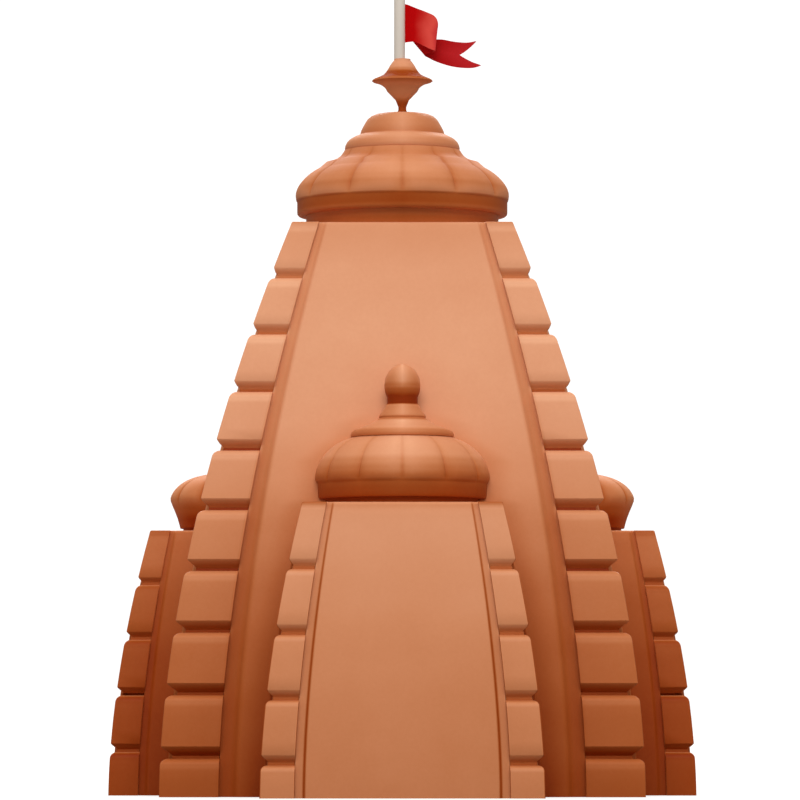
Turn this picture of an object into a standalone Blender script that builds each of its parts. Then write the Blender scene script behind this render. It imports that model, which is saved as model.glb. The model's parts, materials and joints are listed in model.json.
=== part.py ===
"""Curvilinear stone temple tower: a hollow square spire with stacked corner columns, an engaged small
spire on each face, ribbed crowns, a turned finial, and a swallow-tailed flag on a pole."""

import math

import bmesh
import bpy
import numpy as np

# Driving dimensions in metres. The front faces -Y, the ground is z = 0 and the tower's axis is the Z axis.
GAP = 0.0003
CURVE_POWER = 1.75  # how the faces draw in: the drop grows with this power of the height

# Each square body: half width at the ground and at the top, then its courses. The lowest course is cut
# short by the ground, and each course above it is lower than the one below by the loss.
TOWER_HALF, TOWER_TOP_HALF = 4.65, 2.17
TOWER_FIRST, TOWER_COURSE, TOWER_LOSS, TOWER_COURSES = 0.76, 1.2124, 0.0115, 10
FRONT_HALF, FRONT_TOP_HALF = 2.69, 1.905
FRONT_FIRST, FRONT_COURSE, FRONT_LOSS, FRONT_COURSES = 0.645, 1.2242, -0.012, 5
SIDE_HALF, SIDE_TOP_HALF = 2.38, 1.608
SIDE_FIRST, SIDE_COURSE, SIDE_LOSS, SIDE_COURSES = 0.87, 1.1055, 0.015, 5
FRONT_OUT, SIDE_OUT = 3.60, 3.36  # from the tower's axis to the axis of the small spire

# A face in plan, as shares of the half width: where the corner column, the sunk strip's inner edge and the
# panel's edge are, and how far the panel and the strips lie behind the columns.
COLUMN_IN, STRIP_IN, PANEL_IN = 0.755, 0.70, 0.68
PANEL_BACK, STRIP_BACK = 0.020, 0.042
TOP_CHAMFER = 0.08
CORE_BACK = 0.3  # how far behind its own axis a small spire's body runs before the tower cuts it off

# Groove between two courses of a corner column: its depth as a share of the half width, its flat floor, and
# for each body how high the undercut foot of the course above and the sloped top of the course below are.
GROOVE_DEPTH, GROOVE_FLOOR = 0.05, 0.05
TOWER_UNDERCUT, TOWER_SLOPE = 0.185, 0.085
FRONT_UNDERCUT, FRONT_SLOPE = 0.15, 0.085
SIDE_UNDERCUT, SIDE_SLOPE = 0.11, 0.11

# Shoulder slab in its rebate
SLAB_HALF, SLAB_THICK = 1.83, 0.25

# Turned pieces of the main tower, as (radius, height above the piece's own foot)
RIBS, RIB_POWER = 12, 0.6
SHARP_ANGLE = 35
NECK_RADIUS, NECK_HEIGHT = 1.93, 0.30
CROWN_BAND = [(2.07, 0.0), (2.105, 0.04), (2.11, 0.285)]
CROWN_DOME = {"centre": (0.92, 0.21), "reach": (1.21, 0.91), "angles": (8, 55), "count": 7}
CROWN_SHOULDER = [(1.49, 1.07), (1.38, 1.10), (1.29, 1.14), (1.22, 1.20), (1.165, 1.32)]
CROWN_RIBS = [0.0] * 3 + [0.045, 0.08, 0.085, 0.08, 0.075, 0.07, 0.065] + [0.06, 0.055, 0.035, 0.02, 0.0]
TIER = [(1.13, 0.0), (1.155, 0.04), (1.145, 0.10), (1.11, 0.17), (1.05, 0.23), (0.96, 0.28), (0.87, 0.32)]
CAP = [(0.85, 0.0), (0.83, 0.08), (0.79, 0.16), (0.745, 0.24), (0.70, 0.31), (0.63, 0.37), (0.54, 0.41),
       (0.42, 0.43), (0.10, 0.435)]
FINIAL = [(0.11, 0.0), (0.08, 0.07), (0.08, 0.13), (0.135, 0.27), (0.185, 0.32), (0.23, 0.37),
          (0.30, 0.44), (0.345, 0.52), (0.395, 0.56), (0.46, 0.60), (0.58, 0.635), (0.61, 0.655),
          (0.60, 0.675), (0.56, 0.70), (0.45, 0.745), (0.375, 0.785), (0.325, 0.84), (0.285, 0.90),
          (0.25, 0.965), (0.20, 1.035), (0.165, 1.075), (0.165, 1.10)]
POLE_RADIUS, POLE_TOP = 0.11, 16.14
POLE_SIDE = -0.055  # the pole stands a little to the left on the finial

# Turned pieces of the front and back spires
FRONT_NECK_RADIUS, FRONT_NECK_HEIGHT = 1.50, 0.11
FRONT_CROWN_BAND = [(1.59, 0.0), (1.64, 0.05), (1.645, 0.285), (1.655, 0.345)]
FRONT_CROWN_DOME = {"centre": (0.70, 0.33), "reach": (0.96, 0.90), "angles": (4, 66), "count": 7}
FRONT_CROWN_TOP = [(0.98, 1.20)]
FRONT_CROWN_RIBS = [0.0] * 3 + [0.03, 0.055, 0.06, 0.06, 0.055, 0.05, 0.045, 0.04] + [0.025]
FRONT_TIER = [(0.95, 0.0), (0.99, 0.015), (1.0, 0.05), (0.985, 0.10), (0.935, 0.145), (0.80, 0.20),
              (0.62, 0.27), (0.47, 0.36), (0.455, 0.40), (0.45, 0.425), (0.40, 0.50), (0.345, 0.58),
              (0.30, 0.66)]
FRONT_BALL_FOOT, FRONT_BALL_NECK, FRONT_BALL_RISE, FRONT_BALL_RADIUS = 0.295, 0.12, 0.23, (0.35, 0.42)

# Turned pieces of the left and right spires, whose crown is a flatter dome on a bowl
SIDE_NECK_RADIUS, SIDE_NECK_HEIGHT = 1.02, 0.09
SIDE_CROWN_BOWL = [(1.08, 0.0), (1.12, 0.17), (1.20, 0.33), (1.285, 0.47)]
SIDE_CROWN_DOME = {"centre": (0.40, 0.50), "reach": (0.90, 0.58), "angles": (4, 72), "count": 7}
SIDE_CROWN_TOP = [(0.60, 1.07)]
SIDE_CROWN_RIBS = [0.0] * 3 + [0.03] + [0.045, 0.05, 0.05, 0.045, 0.04, 0.03, 0.02] + [0.015]
SIDE_TIER = [(0.44, 0.0), (0.47, 0.03), (0.46, 0.08), (0.39, 0.15), (0.31, 0.22), (0.27, 0.28), (0.27, 0.31),
             (0.25, 0.36), (0.235, 0.44)]
SIDE_BALL_FOOT, SIDE_BALL_NECK, SIDE_BALL_RISE, SIDE_BALL_RADIUS = 0.225, 0.07, 0.17, (0.26, 0.30)

# Flag: its upper and lower edges from the hoist to the tails. It folds forward, back behind itself and
# forward again as it streams towards +X.
FLAG_THICK = 0.02
HOIST = POLE_SIDE + POLE_RADIUS + GAP
FLAG_TOP = [(HOIST, 0.0, 15.85), (0.13, 0.0, 15.83), (0.28, -0.06, 15.76), (0.49, -0.13, 15.67),
            (0.65, -0.19, 15.58), (0.715, -0.20, 15.45), (0.68, -0.12, 15.30), (0.48, -0.03, 15.19),
            (0.28, 0.05, 15.12), (0.22, 0.12, 15.10), (0.34, 0.16, 15.12), (0.58, 0.16, 15.15),
            (0.80, 0.13, 15.15), (0.98, 0.08, 15.11), (1.15, 0.02, 15.08)]
FLAG_LOW = [(HOIST, 0.0, 15.07), (0.13, 0.0, 15.08), (0.25, -0.05, 15.08), (0.41, -0.12, 15.00),
            (0.56, -0.18, 14.92), (0.66, -0.19, 14.88), (0.61, -0.12, 14.86), (0.52, -0.03, 14.85),
            (0.47, 0.05, 14.84), (0.46, 0.12, 14.815), (0.52, 0.155, 14.785), (0.64, 0.14, 14.72),
            (0.81, 0.09, 14.65), (1.00, 0.03, 14.59), (1.22, -0.02, 14.555)]
FLAG_NOTCH = (1.16, 0.0, 14.83)
FLAG_UPPER_TAIL = [(1.32, -0.02, 15.07), (1.49, -0.03, 15.10)]
FLAG_LOWER_TAIL = [(1.43, -0.04, 14.555), (1.585, -0.05, 14.60)]

SIDES = {"front": 0, "right": 90, "back": 180, "left": 270}
CORNERS = {"front_right": 0, "back_right": 90, "back_left": 180, "front_left": 270}


class Body:
    """A square body with curved faces, made of courses. Between two course lines a face is straight."""

    def __init__(self, half, top_half, first, course, loss, courses, undercut, slope):
        self.undercut, self.slope = undercut, slope
        steps = [course - loss * number for number in range(courses - 1)]
        self.lines = list(np.cumsum([0.0, first, *steps]))
        self.height = self.lines[-1]
        drop = half - top_half
        self.halves = [half - drop * (z / self.height) ** CURVE_POWER for z in self.lines]

    def half(self, z):
        return float(np.interp(z, self.lines, self.halves))

    def face_levels(self):
        """Heights and chamfers of a face's rings: one at each course line, and the chamfer at the top."""
        plain = [(line, 0.0) for line in self.lines[:-1]]
        return [*plain, (self.height - 2 * TOP_CHAMFER, 0.0), (self.height, TOP_CHAMFER)]


TOWER = Body(TOWER_HALF, TOWER_TOP_HALF, TOWER_FIRST, TOWER_COURSE, TOWER_LOSS, TOWER_COURSES,
             TOWER_UNDERCUT, TOWER_SLOPE)
FRONT = Body(FRONT_HALF, FRONT_TOP_HALF, FRONT_FIRST, FRONT_COURSE, FRONT_LOSS, FRONT_COURSES,
             FRONT_UNDERCUT, FRONT_SLOPE)
SIDE = Body(SIDE_HALF, SIDE_TOP_HALF, SIDE_FIRST, SIDE_COURSE, SIDE_LOSS, SIDE_COURSES,
            SIDE_UNDERCUT, SIDE_SLOPE)


def clear_scene():
    for obj in list(bpy.data.objects):
        bpy.data.objects.remove(obj, do_unlink=True)


def material(name, colour, roughness, metallic=0.0):
    made = bpy.data.materials.new(name)
    made.use_nodes = True
    shader = made.node_tree.nodes["Principled BSDF"]
    shader.inputs["Base Color"].default_value = (*colour, 1.0)
    shader.inputs["Roughness"].default_value = roughness
    shader.inputs["Metallic"].default_value = metallic
    return made


def mesh_from(name, bm):
    bmesh.ops.recalc_face_normals(bm, faces=bm.faces)
    mesh = bpy.data.meshes.new(name)
    bm.to_mesh(mesh)
    bm.free()
    return mesh


def loft(name, rings):
    """A closed mesh through rings of points, each ring with as many points as the next."""
    bm = bmesh.new()
    loops = [[bm.verts.new(point) for point in ring] for ring in rings]
    for low, high in zip(loops, loops[1:]):
        for index in range(len(low)):
            after = (index + 1) % len(low)
            bm.faces.new((low[index], low[after], high[after], high[index]))
    bm.faces.new(loops[0])
    bm.faces.new(loops[-1])
    return mesh_from(name, bm)


def place(name, mesh, look, parent=None, turn=0):
    """An object of its own for a mesh, turned about the Z axis and set on its parent empty."""
    obj = bpy.data.objects.new(name, mesh)
    bpy.context.collection.objects.link(obj)
    if not mesh.materials:
        mesh.materials.append(look)
    obj.rotation_euler.z = math.radians(turn)
    obj.parent = parent
    return obj


def cut(obj, cutter):
    modifier = obj.modifiers.new("Cut", "BOOLEAN")
    modifier.operation = "DIFFERENCE"
    modifier.solver = "EXACT"
    modifier.object = cutter


def make_cutter(name, mesh):
    cutter = bpy.data.objects.new(name, mesh)
    bpy.context.collection.objects.link(cutter)
    cutter.hide_render = True
    cutter.display_type = "WIRE"
    return cutter


def square_ring(half, z):
    return [(-half, -half, z), (half, -half, z), (half, half, z), (-half, half, z)]


def arc(centre, reach, angles, count):
    """Profile points (radius, height) along part of an ellipse. Angles are in degrees above level."""
    steps = np.radians(np.linspace(*angles, count))
    return [(centre[0] + reach[0] * math.cos(a), centre[1] + reach[1] * math.sin(a)) for a in steps]


def turned(name, profile, foot, segments, ribs=None):
    """A turned piece about its own Z axis, from profile points (radius, height above its foot).
    With ribs, one depth for each point, the piece swells between its grooves by that much."""
    depths = ribs or [0.0] * len(profile)
    rings = []
    for (radius, rise), depth in zip(profile, depths, strict=True):
        ring = []
        for number in range(segments):
            turn = number / segments
            reach = radius + depth * abs(math.sin(RIBS * math.pi * turn)) ** RIB_POWER
            angle = 2 * math.pi * turn - math.pi / 2
            ring.append((reach * math.cos(angle), reach * math.sin(angle), foot + rise))
        rings.append(ring)
    mesh = loft(name, rings)
    mesh.shade_smooth()
    mesh.set_sharp_from_angle(angle=math.radians(SHARP_ANGLE))
    return mesh


def height_of(profile):
    return profile[-1][1]


def wall_mesh():
    """The wall between two corner columns: a raised panel between two sunk strips, chamfered on top."""
    rings = []
    for z, chamfer in TOWER.face_levels():
        half = TOWER.half(z)
        edge = COLUMN_IN * half - GAP
        strip = (1 - STRIP_BACK) * half - chamfer
        panel = (1 - PANEL_BACK) * half - chamfer
        right = [(edge, COLUMN_IN * half), (edge, strip), (STRIP_IN * half, strip), (PANEL_IN * half, panel)]
        left = [(-x, out) for x, out in reversed(right)]
        rings.append([(x, -out, z) for x, out in right + left])
    return loft("main_wall", rings)


def core_mesh(name, body):
    """The body of a small spire about its own axis: a panel and two sunk strips on the face and on each
    side. Its back runs into the tower, where it is cut off."""
    rings = []
    for z, chamfer in body.face_levels():
        half = body.half(z)
        edge = COLUMN_IN * half - GAP
        strip = (1 - STRIP_BACK) * half - chamfer
        panel = (1 - PANEL_BACK) * half - chamfer
        right = [(panel, CORE_BACK), (panel, -PANEL_IN * half), (strip, -STRIP_IN * half), (strip, -edge),
                 (edge, -edge), (edge, -strip), (STRIP_IN * half, -strip), (PANEL_IN * half, -panel)]
        left = [(-x, y) for x, y in reversed(right)]
        rings.append([(x, y, z) for x, y in right + left])
    return loft(name, rings)


def column_mesh(name, body, mirrored=False):
    """A square corner column at +X, -Y, grooved between its courses on its two outer sides."""
    stations = []
    for low, high in zip(body.lines, body.lines[1:]):
        if low > 0:
            stations.append((low, GROOVE_DEPTH))
            stations.append((low + GROOVE_FLOOR / 2, GROOVE_DEPTH))
            stations.append((low + GROOVE_FLOOR / 2 + body.undercut, 0.0))
        else:
            stations.append((0.0, 0.0))
        edge = high if high == body.height else high - GROOVE_FLOOR / 2
        stations.append((edge - body.slope, 0.0))
        stations.append((edge, GROOVE_DEPTH))
    rings = []
    for z, inset in stations:
        low, high = COLUMN_IN * body.half(z), (1 - inset) * body.half(z)
        corners = [(low, -high), (high, -high), (high, -low), (low, -low)]
        rings.append([(-x if mirrored else x, y, z) for x, y in corners])
    return loft(name, rings)


def main_tower(stone):
    slab_foot = TOWER.height - SLAB_THICK
    pocket = make_cutter("slab_pocket", loft("slab_pocket", [
        square_ring(SLAB_HALF + GAP, slab_foot - GAP),
        square_ring(SLAB_HALF + GAP, TOWER.height + SLAB_THICK)]))
    wall = wall_mesh()
    column = column_mesh("main_corner", TOWER)
    for side, turn in SIDES.items():
        cut(place(f"main_wall_{side}", wall, stone, turn=turn), pocket)
    for corner, turn in CORNERS.items():
        cut(place(f"main_corner_{corner}", column, stone, turn=turn), pocket)
    slab = loft("shoulder_slab", [square_ring(SLAB_HALF, slab_foot), square_ring(SLAB_HALF, TOWER.height)])
    place("shoulder_slab", slab, stone)


def stack(pieces, foot):
    """Turned meshes set one on the other with a gap between them, from (name, profile, segments, ribs)
    each. Returns the meshes and the height of the last one's top."""
    meshes = []
    for name, profile, segments, ribs in pieces:
        foot += GAP
        meshes.append(turned(name, profile, foot, segments, ribs))
        foot += height_of(profile)
    return meshes, foot


def main_top(stone, paint):
    """Neck, ribbed crown, tier, cap and finial on the tower's axis, and the pole that the finial holds."""
    neck = [(NECK_RADIUS, 0.0), (NECK_RADIUS, NECK_HEIGHT)]
    crown = [*CROWN_BAND, *arc(**CROWN_DOME), *CROWN_SHOULDER]
    meshes, top = stack([("neck", neck, 48, None), ("crown", crown, 4 * RIBS, CROWN_RIBS),
                         ("crown_tier", TIER, 36, None), ("crown_cap", CAP, 36, None),
                         ("finial", FINIAL, 24, None)], TOWER.height)
    for mesh in meshes:
        place(mesh.name, mesh, stone)
    foot = top + GAP
    bend = POLE_TOP - POLE_RADIUS - foot
    round_top = arc((0.0, bend), (POLE_RADIUS, POLE_RADIUS), (0, 75), 4)
    pole = place("flagpole", turned("flagpole", [(POLE_RADIUS, 0.0), *round_top], foot, 16), paint)
    pole.location.x = POLE_SIDE


def flag(cloth):
    """The flag as a sheet between its two edges, given its thickness by a modifier."""
    bm = bmesh.new()
    columns = []
    for top, low in zip(FLAG_TOP, FLAG_LOW, strict=True):
        middle = [(a + b) / 2 for a, b in zip(top, low)]
        columns.append([bm.verts.new(point) for point in (top, middle, low)])
    for near, far in zip(columns, columns[1:]):
        for row in range(2):
            bm.faces.new((near[row], near[row + 1], far[row + 1], far[row]))
    top, middle, low = columns[-1]
    middle.co = FLAG_NOTCH
    for corner, tail in ((top, FLAG_UPPER_TAIL), (low, FLAG_LOWER_TAIL)):
        shoulder, tip = (bm.verts.new(point) for point in tail)
        bm.faces.new((corner, middle, shoulder))
        bm.faces.new((middle, tip, shoulder))
    obj = place("flag", mesh_from("flag", bm), cloth)
    thicken = obj.modifiers.new("Thickness", "SOLIDIFY")
    thicken.thickness = FLAG_THICK
    thicken.offset = 0.0


def ball(foot_radius, neck, rise, reach):
    """Profile of a ball finial: a short foot and a round body drawn up to a blunt tip."""
    centre = (0.0, neck + rise)
    return [(foot_radius, 0.0), (foot_radius, neck), *arc(centre, reach, (-20, 82), 7)]


def small_spire_meshes(kind, body, pieces):
    meshes = {"core": core_mesh(f"{kind}_core", body),
              "corner_right": column_mesh(f"{kind}_corner_right", body),
              "corner_left": column_mesh(f"{kind}_corner_left", body, mirrored=True)}
    named = [(f"{kind}_{piece}", *rest) for piece, *rest in pieces]
    turned_meshes, _ = stack(named, body.height)
    meshes.update(zip([piece for piece, *_ in pieces], turned_meshes))
    return meshes


def front_meshes():
    neck = [(FRONT_NECK_RADIUS, 0.0), (FRONT_NECK_RADIUS, FRONT_NECK_HEIGHT)]
    crown = [*FRONT_CROWN_BAND, *arc(**FRONT_CROWN_DOME), *FRONT_CROWN_TOP]
    finial = ball(FRONT_BALL_FOOT, FRONT_BALL_NECK, FRONT_BALL_RISE, FRONT_BALL_RADIUS)
    return small_spire_meshes("front", FRONT, [
        ("neck", neck, 36, None), ("crown", crown, 3 * RIBS, FRONT_CROWN_RIBS),
        ("tier", FRONT_TIER, 24, None), ("finial", finial, 20, None)])


def side_meshes():
    neck = [(SIDE_NECK_RADIUS, 0.0), (SIDE_NECK_RADIUS, SIDE_NECK_HEIGHT)]
    crown = [*SIDE_CROWN_BOWL, *arc(**SIDE_CROWN_DOME), *SIDE_CROWN_TOP]
    finial = ball(SIDE_BALL_FOOT, SIDE_BALL_NECK, SIDE_BALL_RISE, SIDE_BALL_RADIUS)
    return small_spire_meshes("side", SIDE, [
        ("neck", neck, 36, None), ("crown", crown, 3 * RIBS, SIDE_CROWN_RIBS),
        ("tier", SIDE_TIER, 24, None), ("finial", finial, 20, None)])


def small_spires(stone):
    """One small spire on each face. What would run into the tower is cut off just clear of its panel."""
    below = -SLAB_THICK
    cutter_rings = [square_ring(TOWER.half(0.0) * (1 - PANEL_BACK) + GAP, below)]
    for z in TOWER.lines[:-1]:
        cutter_rings.append(square_ring(TOWER.half(z) * (1 - PANEL_BACK) + GAP, z))
    tower_cutter = make_cutter("tower_cutter", loft("tower_cutter", cutter_rings))
    deep, shallow = front_meshes(), side_meshes()
    for side, turn in SIDES.items():
        out, meshes = (FRONT_OUT, deep) if side in ("front", "back") else (SIDE_OUT, shallow)
        angle = math.radians(turn)
        axis = bpy.data.objects.new(f"{side}_spire_axis", None)
        bpy.context.collection.objects.link(axis)
        axis.location = (out * math.sin(angle), -out * math.cos(angle), 0.0)
        axis.rotation_euler.z = angle
        for piece, mesh in meshes.items():
            obj = place(f"{side}_spire_{piece}", mesh, stone, parent=axis)
            if not piece.startswith("corner"):
                cut(obj, tower_cutter)


def main():
    clear_scene()
    stone = material("terracotta_stone", (0.66, 0.31, 0.17), 0.62)
    paint = material("pole_paint", (0.56, 0.50, 0.42), 0.5)
    cloth = material("flag_cloth", (0.58, 0.02, 0.03), 0.8)
    main_tower(stone)
    main_top(stone, paint)
    flag(cloth)
    small_spires(stone)


main()
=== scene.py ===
"""The stone temple tower as it looks: curved walls, stacked corner columns, ribbed crowns, finials
and flag, with their stone, paint and cloth, the studio light and the camera."""
import json
import math

import bmesh
import bpy
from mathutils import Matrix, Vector

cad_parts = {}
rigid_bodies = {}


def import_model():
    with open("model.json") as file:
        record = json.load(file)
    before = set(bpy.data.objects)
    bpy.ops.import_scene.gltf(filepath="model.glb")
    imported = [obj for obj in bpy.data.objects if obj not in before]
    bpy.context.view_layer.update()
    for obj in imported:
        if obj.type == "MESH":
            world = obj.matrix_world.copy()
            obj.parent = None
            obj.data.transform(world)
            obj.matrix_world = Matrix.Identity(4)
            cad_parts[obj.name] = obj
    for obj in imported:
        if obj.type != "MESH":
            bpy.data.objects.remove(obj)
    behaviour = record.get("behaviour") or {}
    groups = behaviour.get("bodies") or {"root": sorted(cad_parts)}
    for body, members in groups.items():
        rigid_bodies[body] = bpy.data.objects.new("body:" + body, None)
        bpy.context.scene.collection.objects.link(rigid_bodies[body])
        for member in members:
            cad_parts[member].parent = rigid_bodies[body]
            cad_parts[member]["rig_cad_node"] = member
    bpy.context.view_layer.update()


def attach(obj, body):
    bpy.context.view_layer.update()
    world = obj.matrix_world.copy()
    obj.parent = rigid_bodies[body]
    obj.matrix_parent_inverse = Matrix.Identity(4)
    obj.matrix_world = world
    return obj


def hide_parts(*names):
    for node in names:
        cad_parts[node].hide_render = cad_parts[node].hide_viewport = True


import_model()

# Camera: a long lens at eye height, pitched up so that the tower fills the frame
SENSOR = 36.0
PIXEL = 0.02  # metres at the tower's axis
LENS = 5400  # focal length in pixels
DISTANCE = LENS * PIXEL
EYE_HEIGHT = 1.53
AXIS_PIXEL, HORIZON_PIXEL, FRAME = 402.3, 717, 800
VIEW_END = 1000

# A face in plan, as shares of the half width: where the corner column, the sunk strip and the panel
# end, how far the panel and the strip lie back, and how wide the panel's edges are rounded
COLUMN_IN, STRIP_IN, PANEL_IN = 0.755, 0.70, 0.68
PANEL_BACK, STRIP_BACK = 0.020, 0.042
PANEL_SOFT = 0.014
CURVE_POWER = 1.75
WALL_MIDDLE = 0.85  # share of the half width that lies inside the tower's wall at every height
WALL_STEPS, PIER_STEPS, SPIRE_STEPS = 48, 24, 20  # levels that follow the curve

GAP = 0.0003  # between pieces that stand on or beside each other
SLAB_HALF, SLAB_THICK = 1.83, 0.25
FRONT_OUT, SIDE_OUT = 3.60, 3.36  # from the tower's axis to the axes of the small spires
BODY_BACK, CROWN_BACK = 0.6, 0.15  # how far a small spire runs on behind its axis, before its trim

# Stacked courses: the open joint, the rounding of a block's outer and inner upright edges, of a
# wall's top edge and of the last block's top, and for each body how high and how deep the rounded
# top of a block and its undercut foot are
JOINT = 0.05
EDGE_ROUND, INNER_ROUND = 0.03, 0.012
TOP_ROUND, LAST_ROUND = 0.06, 0.03
TOWER_BLOCK = {"top_round": 0.12, "top_inset": 0.16, "foot_rise": 0.185, "foot_inset": 0.23}
FRONT_BLOCK = {"top_round": 0.11, "top_inset": 0.13, "foot_rise": 0.15, "foot_inset": 0.14}
SIDE_BLOCK = {"top_round": 0.12, "top_inset": 0.12, "foot_rise": 0.12, "foot_inset": 0.13}

# The pier behind the open joints: how far it ends below the body's top, how far it stands clear
# of the wall, and how far it stands proud of the undercut feet
PIER_BELOW, PIER_CLEAR, PIER_PROUD = 0.3, 0.01, 0.005

# Turned pieces: the ribs of a crown, how full they are, and the steps round each kind of piece
RIBS, RIB_FULLNESS = 12, 0.5
CROWN_STEPS, RING_STEPS, DISC_STEPS, BALL_STEPS, POLE_STEPS = 288, 96, 72, 48, 32
CARVED_ANGLE = 50  # sharper edges than this stay crisp on the turned stone

FACE_TURNS = {"front": 0, "right": 90, "back": 180, "left": 270}
CORNER_TURNS = {"front_right": 0, "back_right": 90, "back_left": 180, "front_left": 270}

# How near a measure has to come to count as the same: a place, a panel's line and a level
NEAR, NEAR_LINE, NEAR_LEVEL = 0.001, 0.002, 0.00006


class Body:
    """A square body whose faces draw in along a smooth curve, and the lines between its courses."""

    def __init__(self, half, top_half, first, course, loss, courses):
        self.first, self.course, self.loss = first, course, loss
        self.lines = [0.0, first]
        for number in range(courses - 1):
            self.lines.append(self.lines[-1] + course - loss * number)
        self.height = self.lines[-1]
        self.foot_half = half
        self.drop = half - top_half

    def half(self, z):
        return self.foot_half - self.drop * (max(z, 0.0) / self.height) ** CURVE_POWER

    def share(self, z):
        return self.half(z) / self.foot_half


TOWER = Body(4.65, 2.17, 0.76, 1.2124, 0.0115, 10)
FRONT = Body(2.69, 1.905, 0.645, 1.2242, -0.012, 5)
SIDE = Body(2.38, 1.608, 0.87, 1.1055, 0.015, 5)


# Shaping by hand

def settle(name):
    """Gives the new object its name and puts its place into its mesh."""
    piece = bpy.context.object
    piece.name = piece.data.name = name
    bpy.ops.object.transform_apply(location=True, rotation=True, scale=True)
    return piece


def start_block(name, low, high):
    """A box from one corner to the other, to be shaped."""
    bpy.ops.object.select_all(action="DESELECT")
    centre = [(a + b) / 2 for a, b in zip(low, high)]
    size = [b - a for a, b in zip(low, high)]
    bpy.ops.mesh.primitive_cube_add(size=1, location=centre, scale=size)
    return settle(name)


def take(piece):
    """Selects one piece alone and makes it the active one."""
    bpy.ops.object.select_all(action="DESELECT")
    piece.select_set(True)
    bpy.context.view_layer.objects.active = piece


def shape(piece):
    """Opens a piece for shaping, until done."""
    take(piece)
    bpy.ops.object.mode_set(mode="EDIT")


def done():
    """Turns the faces of the shaped piece outwards and closes it."""
    bpy.ops.mesh.select_all(action="SELECT")
    bpy.ops.mesh.normals_make_consistent(inside=False)
    bpy.ops.object.mode_set(mode="OBJECT")


MODES = {"verts": (True, False, False), "edges": (False, True, False),
         "faces": (False, False, True)}


def pick(kind, wanted):
    """Selects the points, edges or faces for which wanted is true."""
    bpy.context.tool_settings.mesh_select_mode = MODES[kind]
    bpy.ops.mesh.select_all(action="DESELECT")
    mesh = bmesh.from_edit_mesh(bpy.context.edit_object.data)
    for item in getattr(mesh, kind):
        if wanted(item):
            item.select_set(True)
    mesh.select_flush_mode()
    bmesh.update_edit_mesh(bpy.context.edit_object.data)


def along(axis, distance):
    """A move along one axis."""
    return [distance if number == axis else 0 for number in range(3)]


def extrude(move):
    bpy.ops.mesh.extrude_region_move(TRANSFORM_OT_translate={"value": move})


def slice_at(place, normal, **trim):
    """Cuts the piece along a plane. trim can say which side goes and that the cut is filled."""
    bpy.ops.mesh.select_all(action="SELECT")
    bpy.ops.mesh.bisect(plane_co=place, plane_no=normal, **trim)


def slice_across(heights):
    for z in heights:
        slice_at((0, 0, z), (0, 0, 1))


def levels_now():
    """The levels at which the piece that is being shaped has points."""
    mesh = bmesh.from_edit_mesh(bpy.context.edit_object.data)
    return sorted({round(v.co.z, 4) for v in mesh.verts})


def draw_in(body):
    """Scales each level of the piece towards the body's axis, as its faces curve in with height."""
    for level in levels_now():
        share = body.share(level)
        if share < 1:
            pick("verts", lambda v: abs(v.co.z - level) < NEAR_LEVEL)
            bpy.ops.transform.resize(value=(share, share, 1), center_override=(0, 0, level))


def finish(piece, stands_for, look=None, angle=35):
    """Smooths a piece, dresses it unless it has its looks already, hangs it on the root body
    and hides the solid that it stands for."""
    take(piece)
    bpy.ops.object.shade_smooth_by_angle(angle=math.radians(angle))
    if look:
        piece.data.materials.clear()
        piece.data.materials.append(look)
    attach(piece, "root")
    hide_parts(stands_for)


def copy_of(piece, name, turn=0, out=0.0):
    """A copy with its own mesh, turned about the axis and set out from it on the side it faces."""
    take(piece)
    bpy.ops.object.duplicate(linked=False)
    copy = bpy.context.object
    angle = math.radians(turn)
    copy.location = (out * math.sin(angle), -out * math.cos(angle), 0)
    copy.rotation_euler = (0, 0, angle)
    return settle(name)


def drop(piece):
    """Takes away a master or a tool that has done its work."""
    bpy.data.objects.remove(piece, do_unlink=True)


# Walls

def levels_of(body, steps):
    """Even steps up a body, between its foot and its top."""
    return [body.height * number / steps for number in range(1, steps)]


def top_level(body, angle):
    """The level of the rounded top edge at an angle of its quarter circle."""
    return body.height - TOP_ROUND * (1 - math.sin(math.radians(angle)))


def slice_wall(body, steps):
    """Gives a wall the levels that its curve and its rounded top edge need."""
    slice_across(levels_of(body, steps) + [top_level(body, angle) for angle in (0, 30, 60)])


def lies_at(face, axis, side, distance):
    """Whether a face looks to a side and lies at a distance on it."""
    place = face.calc_center_median()[axis] * side
    return face.normal[axis] * side > 0.9 and abs(place - distance) < NEAR


def raise_panel(body, axis, side, middle):
    """Draws the panel of one face forward out of its sunk ground. middle is the place along the
    face that the panel narrows towards."""
    half = body.foot_half
    across = 1 - axis
    pick("faces", lambda f: lies_at(f, axis, side, (1 - STRIP_BACK) * half)
         and abs(f.calc_center_median()[across]) < STRIP_IN * half)
    narrow = [1, 1, 1]
    narrow[across] = (PANEL_IN * half + middle) / (STRIP_IN * half + middle)
    extrude(along(axis, side * ((STRIP_BACK - PANEL_BACK) * half)))
    bpy.ops.transform.resize(value=narrow, center_override=along(across, middle))


def soften_panel_edges(body):
    """Rounds the upright edges of the panels, where they rise and where they meet the strips."""
    half = body.foot_half
    lines = ((PANEL_IN * half, (1 - PANEL_BACK) * half), (STRIP_IN * half, (1 - STRIP_BACK) * half))

    def on_panel_line(edge):
        low, high = (v.co for v in edge.verts)
        if abs(low.z - high.z) < 1:
            return False
        return any(abs(abs(low[axis]) - share) < NEAR_LINE
                   and abs(abs(low[1 - axis]) - ground) < NEAR_LINE
                   for axis in (0, 1) for share, ground in lines)
    pick("edges", on_panel_line)
    bpy.ops.mesh.bevel(offset=PANEL_SOFT * half, segments=4, profile=0.5)


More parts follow.
